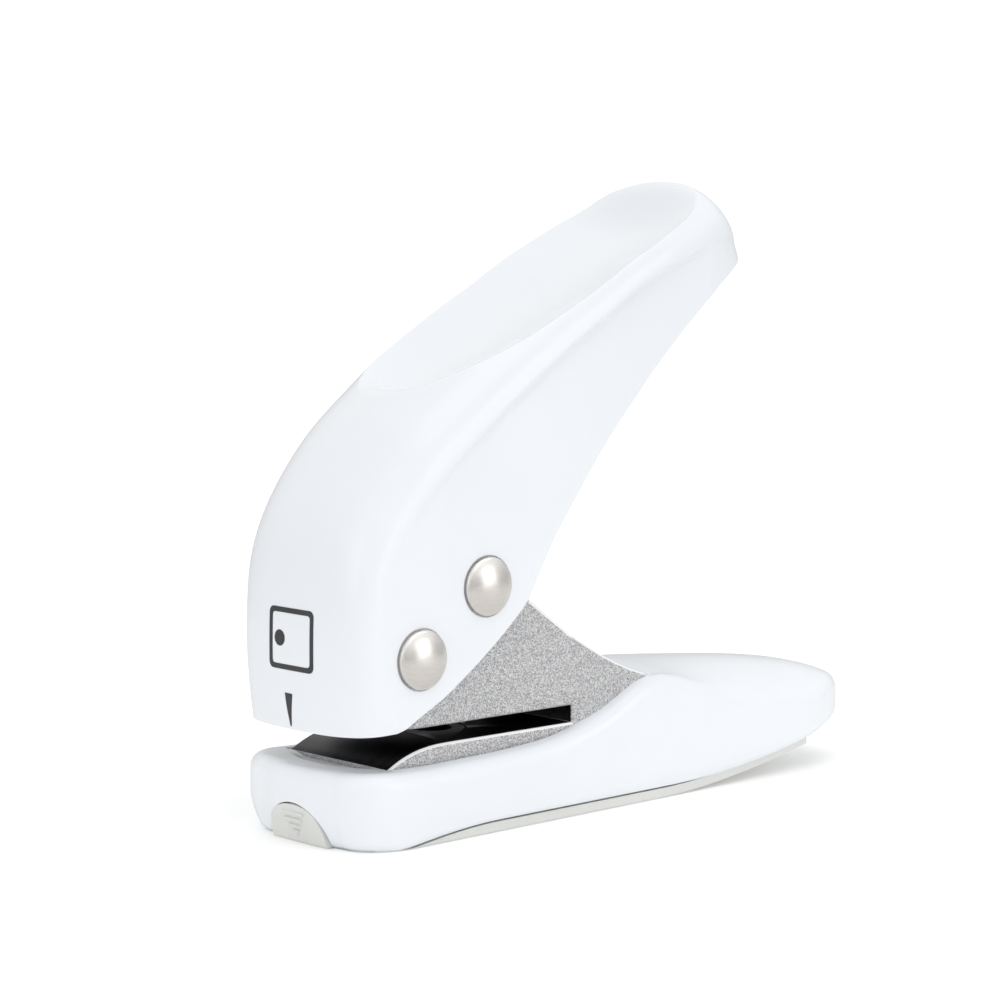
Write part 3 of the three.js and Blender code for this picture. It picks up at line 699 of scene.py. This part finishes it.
def tab_surface(rows=120, columns=100):
    """The tab's front: rows from the foot to the top, columns across the half-oval's width there.

    X follows the front wall, falls back by 0.4 mm towards the rim, and stands proud on
    three bars, each shorter than the one above, and on a triangle below them. TAB_BARS
    holds the height and the half width of each bar.
    """
    angle = np.linspace(0, np.pi / 2, rows)[:, None]
    across = np.linspace(-1, 1, columns)[None, :]
    y = TAB_HALF * np.cos(angle) * across
    z = TAB_HEIGHT * np.sin(angle) ** TAB_POWER + 0 * across
    raised = np.zeros_like(y)
    for level, width in TAB_BARS:
        bar = ease((0.25 - np.abs(z - level)) / 0.06) * ease((width - np.abs(y)) / 0.08)
        raised = np.maximum(raised, bar)
    tip = ease((z - 0.7 - 1.4 * np.abs(y)) / 0.15) * ease((1.85 - z) / 0.08)
    raised = np.maximum(raised, tip)
    rim = np.maximum(np.abs(across) + 0 * angle, np.sin(angle) ** 3 + 0 * across)
    rounded = 0.4 * np.clip((rim - 0.92) / 0.08, 0, 1) ** 2
    x = front_x(y, z) - TAB_BACKSET - TAB_PROUD * raised + rounded
    return np.stack([x, y, z], 2)


tab_points = tab_surface()
rows, columns = tab_points.shape[:2]
index = np.arange(rows * columns).reshape(rows, columns)
loop = np.concatenate([index[0], index[1:, -1], index[-2:0:-1, 0]])
back = tab_points.reshape(-1, 3)[loop].copy()
back[:, 0] = BASE_X0 + TAB_DEPTH
here = np.arange(len(loop))
there = np.roll(here, -1)
walls = np.stack([loop[here], loop[there], rows * columns + there, rows * columns + here], 1).tolist()
tab_faces = grid_faces(rows, columns) + walls + [(rows * columns + here).tolist()]
tab = mesh_object("door_tab", np.vstack([tab_points.reshape(-1, 3), back]), tab_faces, crease=55)
finish_piece(tab, "cover", "clear_plastic")


# %% Edges of the door
DOOR_EDGE_X, DOOR_EDGE_INSET, DOOR_EDGE_WIDTH = (-46.0, -29.2), 0.8, 1.6


def door_edge(name, side, rows=30):
    """The door's edge below the base's rim: a wedge along x, as thick as the room under the rim."""
    x = np.linspace(*DOOR_EDGE_X, rows)
    straight = [BASE_X0 + FRONT_BOW + FRONT_CORNER, BASE_X1 - TAIL_LENGTH]
    outer = np.interp(x, straight, [BASE_HALF, BASE_HALF - TAIL_IN]) - DOOR_EDGE_INSET
    inner = outer - DOOR_EDGE_WIDTH
    top = np.maximum(underside(x) - GAP, 0.06)
    corners = [(outer, 0 * x), (outer, top), (inner, top), (inner, 0 * x)]
    points = np.stack([np.stack([x, side * y, z], 1) for y, z in corners], 1)
    last = 4 * rows - 1
    caps = [[0, 1, 2, 3], [last, last - 1, last - 2, last - 3]]
    return mesh_object(name, points, grid_faces(rows, 4, close_columns=True) + caps, crease=40)


for name, side in (("door_edge_near", -1), ("door_edge_far", 1)):
    finish_piece(door_edge(name, side), "cover", "clear_plastic")

# %% [markdown]
# ## Rivets
# Two domed rivets cross the handle: the lower one is the pivot, the upper one drives the
# punch. A ball pressed flat would do from far away, but each is a turned shape, so one
# profile is spun round its axis: a low dome, a rolled edge and the shank. The far side has
# the same dome as a pressed-on cap. Each dome sits in a shallow round seat in the handle.

# %% Turned shapes
JOINT_PLACES = {
    joint["name"]: np.array(joint["pos_m"]) / MM
    for joint in frame["record"]["behaviour"]["joints"] if "pos_m" in joint
}
PIVOT, DRIVE = JOINT_PLACES["handle_press"], JOINT_PLACES["roller_spin"]
HEAD_RADIUS, HEAD_RISE, HEAD_SUNK = 4.2, 1.5, 0.7
ROLL_RADIUS, ROLL_TOP, SHANK_RADIUS = 0.22, 0.42, 2.1
HEAD_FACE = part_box("drive_pin")[0][1] / MM + HEAD_RISE


def turned(name, profile, x, z, segments=96):
    """Spins a profile of (radius, y) round the y axis through (x, z)."""
    angle = np.linspace(0, 2 * np.pi, segments, endpoint=False)[None, :]
    radius, y = np.asarray(profile, float).T[..., None]
    points = np.stack([x + radius * np.cos(angle), y + 0 * angle, z + radius * np.sin(angle)], 2)
    return mesh_object(name, points, grid_faces(len(profile), segments, close_columns=True), crease=40)


def dome_profile(face, direction):
    """A dome out from the face: height falls with the 2.3 power of the radius, then a rolled rim."""
    share = np.linspace(0, 1, 24)
    flat_radius = HEAD_RADIUS - ROLL_RADIUS
    height = ROLL_TOP + (HEAD_RISE - ROLL_TOP) * (1 - share**2.3)
    roll = np.linspace(0, np.pi / 2, 7)[1:]
    roll_height = ROLL_TOP - ROLL_RADIUS + ROLL_RADIUS * np.cos(roll)
    radius = np.concatenate([flat_radius * share, flat_radius + ROLL_RADIUS * np.sin(roll), [HEAD_RADIUS]])
    height = np.concatenate([height, roll_height, [-HEAD_SUNK]])
    return np.stack([radius, face + direction * height], 1)


print("pivot at", PIVOT.round(2), "drive pin at", DRIVE.round(2))

# %% Seats in the handle
SEAT_RADIUS, SEAT_DEPTH = HEAD_RADIUS + 0.28, 0.75
seats = []
for x, _, z in (PIVOT, DRIVE):
    for side in (-1, 1):
        seat_y, beyond_y = side * (abs(HEAD_FACE) - SEAT_DEPTH), side * 20.0
        profile = [(0, seat_y), (SEAT_RADIUS, seat_y), (SEAT_RADIUS, beyond_y), (0, beyond_y)]
        seats.append(turned("seat", profile, x, z))
carve(handle, *seats)
shade_smooth(handle.data, 45)
print("rivet seats cut; handle faces:", len(handle.data.polygons))

# %% Rivets and their caps
for which, body, (x, _, z) in (("pivot", "base", PIVOT), ("drive", "handle", DRIVE)):
    cap_face = -HEAD_FACE
    shank_end = cap_face - 2 * HEAD_SUNK
    shank = [(SHANK_RADIUS, HEAD_FACE + HEAD_SUNK), (SHANK_RADIUS, shank_end), (0.0, shank_end)]
    rivet = turned(which + "_pin_turned", np.vstack([dome_profile(HEAD_FACE, -1), shank]), x, z)
    finish_piece(rivet, body, "satin_nickel", which + "_pin")
    closed_dome = np.vstack([dome_profile(cap_face, 1), [(0.0, cap_face - HEAD_SUNK)]])
    finish_piece(turned(which + "_cap_turned", closed_dome, x, z), body, "satin_nickel", which + "_cap")

# %% [markdown]
# ## Printed marks
# A small pointer is printed on the nose over the middle of the throat, and above it a
# plain sign for what the tool does: a sheet with one round hole. The marks could be drawn
# by the material, but then they would blur close up. So each one is a real sheet of ink, a
# few hundredths of a millimetre thick, drawn flat in front of the nose and pressed onto it
# by a Shrinkwrap modifier.

# %% Helpers for printed marks
INK_THICKNESS, IN_FRONT_X = 0.03, -70.0


def even(points, step=0.3):
    """The same closed outline with points a fixed step apart: lengths summed, then interpolated."""
    points = np.vstack([points, points[:1]])
    length = np.concatenate([[0], np.cumsum(np.linalg.norm(np.diff(points, axis=0), axis=1))])
    at = np.linspace(0, length[-1], int(length[-1] / step) + 1)[:-1]
    return np.stack([np.interp(at, length, points[:, k]) for k in (0, 1)], 1)


def shrunk(outline, centre, share=0.02):
    """The outline drawn in towards a centre, to a small share of its size."""
    return outline * share + np.array(centre) * (1 - share)


def printed(name, outer, inner):
    """A thin printed mark between two outlines in y and z, laid on the nose from in front."""
    share = np.linspace(0, 1, 6)[:, None, None]
    flat = (1 - share) * outer[None] + share * inner[None]
    points = np.concatenate([np.full(flat.shape[:2] + (1,), IN_FRONT_X), flat], 2)
    mark = mesh_object(name, points, grid_faces(*flat.shape[:2], close_columns=True))
    lay = mark.modifiers.new("lay", "SHRINKWRAP")
    lay.target, lay.wrap_method, lay.use_project_x = handle, "PROJECT", True
    lay.use_negative_direction, lay.use_positive_direction = False, True
    lay.offset = INK_THICKNESS * MM
    sheet = mark.modifiers.new("ink", "SOLIDIFY")
    sheet.thickness, sheet.offset = INK_THICKNESS * MM, 0.0
    baked(mark)
    finish_piece(mark, "handle", "white_plastic", finishes=[INK])


def rounded_page(centre, half_y, half_z, corner):
    """A rectangle with round corners: four quarter circles joined by straight sides."""
    quarter = np.linspace(0, np.pi / 2, 10)
    corners = []
    for k, (sy, sz) in enumerate(((1, 1), (-1, 1), (-1, -1), (1, -1))):
        turn = quarter + k * np.pi / 2
        middle = np.array(centre) + [sy * (half_y - corner), sz * (half_z - corner)]
        corners.append(middle + corner * np.stack([np.cos(turn), np.sin(turn)], 1))
    return np.vstack(corners)


def matched(outer, inner):
    """The inner outline moved to the nearest share of its length for each outer point."""
    share = np.linspace(0, len(inner), len(outer), endpoint=False)
    ring = np.vstack([inner, inner[:1]])
    return np.stack([np.interp(share, np.arange(len(ring)), ring[:, k]) for k in (0, 1)], 1)


print("a page's outline has", len(even(rounded_page((0, 0), 4.9, 4.4, 0.9))), "points")

# %% Marks on the nose
pointer = even([[0.85, 21.5], [-0.85, 21.5], [-0.12, 16.7], [0.12, 16.7]])
printed("nose_pointer", pointer, shrunk(pointer, (0.0, 20.5)))
PAGE_CENTRE, PAGE_HALF_Y, PAGE_HALF_Z, PAGE_LINE = (-0.6, 29.2), 4.9, 4.4, 0.75
page = even(rounded_page(PAGE_CENTRE, PAGE_HALF_Y, PAGE_HALF_Z, 0.9))
inside = even(rounded_page(PAGE_CENTRE, PAGE_HALF_Y - PAGE_LINE, PAGE_HALF_Z - PAGE_LINE, 0.45))
printed("sheet_sign", page, matched(page, inside))
HOLE_CENTRE, HOLE_RADIUS = (1.9, 29.2), 1.15
turn = np.linspace(0, 2 * np.pi, 72, endpoint=False)
hole = np.array(HOLE_CENTRE) + HOLE_RADIUS * np.stack([np.cos(turn), np.sin(turn)], 1)
printed("hole_sign", hole, shrunk(hole, HOLE_CENTRE))

# %% [markdown]
# ## Frame
# The frame is a painted casting with rounded edges and a jaw that the paper slides over.
# Its rounded edges that face upwards get a painted highlight, a near-white that stands for
# the light they catch, and the throat gets painted shade, a near-black that stands for the
# dark inside the slot. Its measured shape is right, so a copy of that mesh is merged, its
# flat faces are joined and its sharp edges are bevelled. One material could cover it all,
# but each face takes one of three finishes: the sand paint, the painted highlight by the way
# it faces for the edges, and the painted shade by its place for the throat.

# %% Bevelled frame
FRAME_FINISHES = (FINISHES["silver_paint"], PAINTED_EDGE_HIGHLIGHT, PAINTED_THROAT_SHADE)
PAINT, EDGE_HIGHLIGHT, SHADED_THROAT = range(3)
frame_mesh = frame["nodes"]["punch_frame"].data.copy()
frame_piece = bpy.data.objects.new("frame_casting", frame_mesh)
bpy.context.collection.objects.link(frame_piece)
frame_mesh.materials.clear()
for finish in FRAME_FINISHES:
    frame_mesh.materials.append(finish)
work = bmesh.new()
work.from_mesh(frame_mesh)
bmesh.ops.remove_doubles(work, verts=work.verts, dist=2e-6)
bmesh.ops.dissolve_limit(work, angle_limit=np.radians(0.5), verts=work.verts, edges=work.edges)
work.to_mesh(frame_mesh)
work.free()
edges = frame_piece.modifiers.new("edges", "BEVEL")
edges.width, edges.segments = 0.2 * MM, 2
edges.limit_method, edges.angle_limit = "ANGLE", np.radians(38)
# The bevel's new faces take the painted highlight.
edges.material, edges.harden_normals = EDGE_HIGHLIGHT, True
baked(frame_piece)
frame_mesh = frame_piece.data
print("frame faces:", len(frame_mesh.polygons))

# %% Finishes of the frame's faces
THROAT_FLOOR = next(m["pos_m"][2] for m in frame["record"]["mounts"] if m["name"] == "paper_rest") / MM
THROAT_END_X = FRAME_LOW[0] + 35.6
count = len(frame_mesh.polygons)
centre, normal, kind = np.zeros(3 * count), np.zeros(3 * count), np.zeros(count, int)
frame_mesh.polygons.foreach_get("center", centre)
frame_mesh.polygons.foreach_get("normal", normal)
frame_mesh.polygons.foreach_get("material_index", kind)
centre, normal = centre.reshape(-1, 3) / MM, normal.reshape(-1, 3)
sideways = np.abs(normal[:, 1])
# Painted shade: faces in the throat, around the paper's rest and in front of its end, take the near-black.
in_throat = (centre[:, 2] < THROAT_FLOOR + 2.6) & (centre[:, 2] > THROAT_FLOOR - 3.0)
in_throat &= (sideways < 0.3) & (centre[:, 0] < THROAT_END_X) & (kind == PAINT)
# Painted highlight: rounded faces near the sides that face upwards take the near-white colour, for the light
# that falls on them.
rounded = (sideways > 0.2) & (sideways < 0.97) & (normal[:, 2] > 0.1)
rounded &= np.abs(centre[:, 1]) > FRAME_HIGH[1] - 0.7
kind[in_throat] = SHADED_THROAT
kind[rounded] = EDGE_HIGHLIGHT
finish_piece(frame_piece, "base", "silver_paint", "punch_frame", finishes=FRAME_FINISHES)
frame_mesh.polygons.foreach_set("material_index", kind)
shade_smooth(frame_mesh, 30)
print("in the throat:", int(in_throat.sum()), "on the edges:", int((kind == EDGE_HIGHLIGHT).sum()))

# %% [markdown]
# ## Finishes on the measured pieces
# The door and the works inside (die, guide, screws, lever, roller, washers, punch, collar,
# spring and hinge pin) already have their exact shapes. They could be made again, but
# nothing would be gained, so they keep them and take the finishes made above. The die
# takes the near-black painted shade of the throat that it sits in, for the dark of the slot.

# %% Finishes by slot
slots = {s["node"]: s["material_slot"] for s in frame["record"]["subparts"]}
for node, slot in slots.items():
    # The die also takes the near-black painted shade of the slot.
    finish = PAINTED_THROAT_SHADE if node == "die_ring" else FINISHES[slot]
    measured = frame["nodes"][node]
    measured.data.materials.clear()
    measured.data.materials.append(finish)
print("finishes on", len(slots), "measured pieces")

# %% [markdown]
# ## Room
# White plastic on a white desk shows its shape only by gentle shading, and one hard lamp
# would bleach it. So the room is a pale floor in a tent of white cloth: a sky that is
# bright overhead and dimmer at the horizon, and three large soft lights, above the near
# side, in front of the nose, and low beside the near side, where it lifts the rivets.

# %% Floor
FLOOR_RADIUS, FLOOR_CORNERS, BELOW_DESK = 320.0, 128, 0.1
turn = np.linspace(0, 2 * np.pi, FLOOR_CORNERS, endpoint=False)
disc = FLOOR_RADIUS * np.stack([np.cos(turn), np.sin(turn), 0 * turn], 1)
floor = mesh_object("floor", disc, [list(range(FLOOR_CORNERS))])
floor.location.z = -BELOW_DESK * MM
material, tree, shader, place = start_material(
    "pale_floor", Specular_IOR_Level=0.1, Roughness=0.7, Emission_Color=(1, 1, 1, 1), Emission_Strength=0.13
)
marks = use_group(tree, CLOUDS, place, Broad=4.0, Fine=60.0, Share=0.3)
dim = tree.nodes.new("ShaderNodeMix")
dim.data_type = "RGBA"
# Reflections in the rivets see a dimmer floor, or the domes would look flat.
dim.inputs["B"].default_value = (0.60, 0.585, 0.57, 1)
blend_colour(tree, marks.outputs["Mask"], (0.955, 0.955, 0.955), (0.97, 0.97, 0.97), dim.inputs["A"])
ray = tree.nodes.new("ShaderNodeLightPath")
tree.links.new(ray.outputs["Is Glossy Ray"], dim.inputs["Factor"])
tree.links.new(dim.outputs["Result"], shader.inputs["Base Color"])
floor.data.materials.append(material)
print("floor radius:", FLOOR_RADIUS, "mm")

# %% Sky
SEEN_BRIGHTNESS = 1.1
world = bpy.data.worlds.new("white_sky")
world.use_nodes = True
tree = world.node_tree
sky = tree.nodes["Background"]
sky.inputs["Color"].default_value = (1.0, 1.0, 1.0, 1)
direction = tree.nodes.new("ShaderNodeTexCoord")
split = tree.nodes.new("ShaderNodeSeparateXYZ")
tree.links.new(direction.outputs["Generated"], split.inputs[0])
rise = tree.nodes.new("ShaderNodeMapRange")
rise.interpolation_type = "SMOOTHSTEP"
for label, value in (("From Min", 0.0), ("From Max", 0.6), ("To Min", 0.50), ("To Max", 0.99)):
    rise.inputs[label].default_value = value
tree.links.new(split.outputs[2], rise.inputs["Value"])
seen = tree.nodes.new("ShaderNodeLightPath")
strength = tree.nodes.new("ShaderNodeMapRange")
strength.inputs["To Max"].default_value = SEEN_BRIGHTNESS
tree.links.new(rise.outputs["Result"], strength.inputs["To Min"])
tree.links.new(seen.outputs["Is Camera Ray"], strength.inputs["Value"])
tree.links.new(strength.outputs["Result"], sky.inputs["Strength"])
bpy.context.scene.world = world
print("sky nodes:", len(tree.nodes))


# %% Lights
def soft_light(name, place, target, size, power):
    """A square area light in metres, facing its target."""
    data = bpy.data.lights.new(name, "AREA")
    data.shape, data.size, data.energy = "SQUARE", size, power
    light = bpy.data.objects.new(name, data)
    light.location = Vector(place)
    light.rotation_euler = (Vector(place) - Vector(target)).to_track_quat("Z", "Y").to_euler()
    bpy.context.collection.objects.link(light)


MIDDLE = (-0.01, 0.0, 0.04)
soft_light("above", (0.05, -0.25, 0.75), MIDDLE, 0.5, 0.6)
soft_light("front", (-0.70, -0.15, 0.25), MIDDLE, 0.4, 0.4)
soft_light("side", (0.35, -0.75, 0.22), MIDDLE, 0.5, 0.95)
